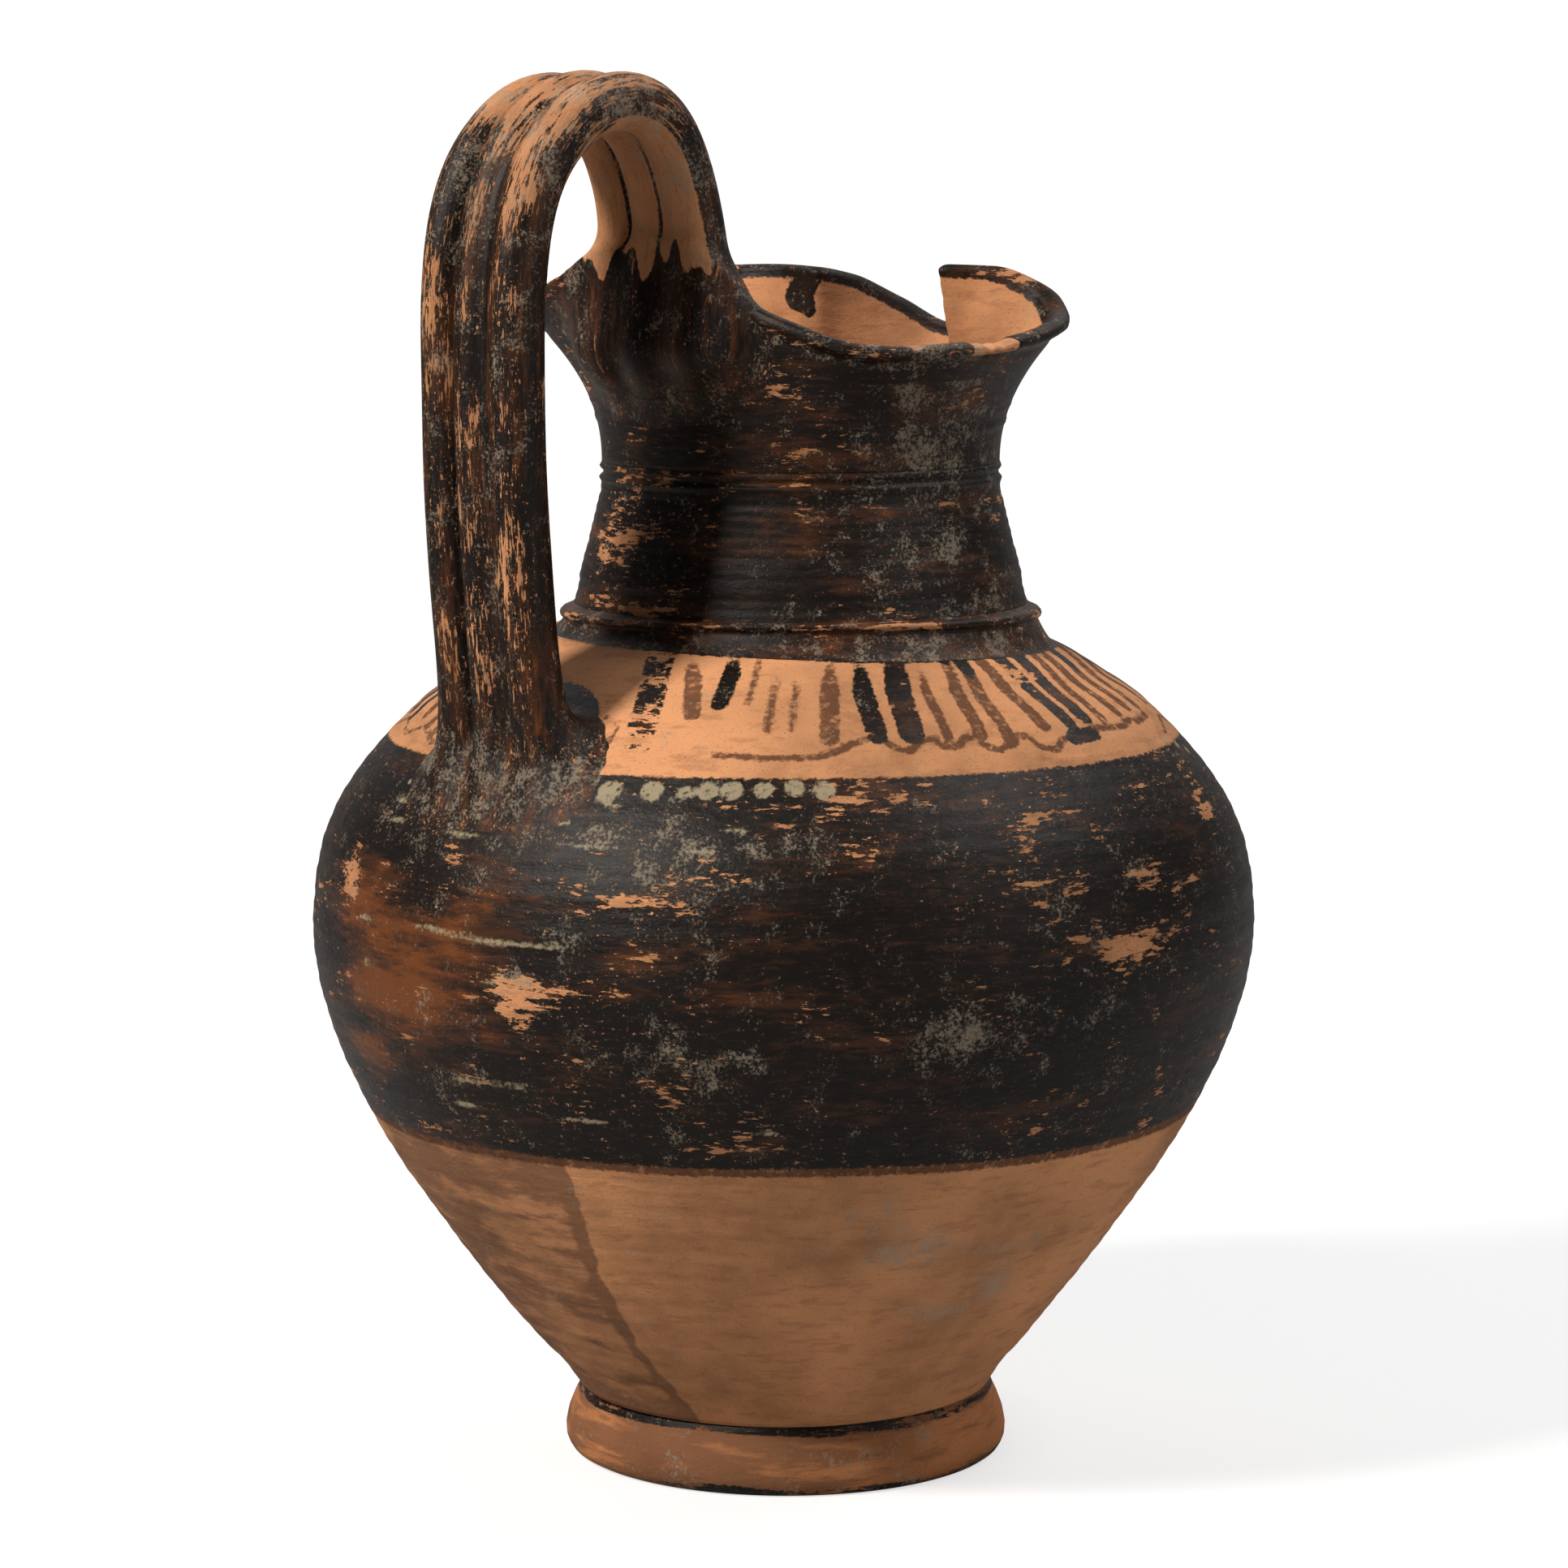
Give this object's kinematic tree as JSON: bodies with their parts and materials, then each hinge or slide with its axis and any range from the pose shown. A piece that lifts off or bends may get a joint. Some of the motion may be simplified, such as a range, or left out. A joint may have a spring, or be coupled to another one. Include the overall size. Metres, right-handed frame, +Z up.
{
  "type": "oinochoe",
  "caption": "Clay wine jug with a ring foot, round belly, three-lobed pinched mouth and a high strap handle of rolled rods.",
  "frame": {"origin": "centre of the foot on the standing surface", "axes": "+Z up, +X towards the pouring lobe, -X towards the handle"},
  "size_m": [0.1822, 0.1822, 0.2668],
  "materials": {
    "bare_clay": "unglazed fired clay, fine wheel lines",
    "painted_clay": "fired clay with worn black slip bands and painted strokes",
    "dark_slip": "semi-gloss black-brown slip, worn and crusted",
    "worn_slip": "black slip worn to orange clay along the rods"
  },
  "bodies": {
    "root": {"foot_ring": "bare_clay", "body": "painted_clay", "neck_collar": "dark_slip", "neck": "dark_slip", "trefoil_mouth": "dark_slip", "handle_rod_left": "worn_slip", "handle_rod_middle": "worn_slip", "handle_rod_right": "worn_slip", "handle_lower_root": "worn_slip", "handle_upper_root": "worn_slip"}
  },
  "joints": []
}
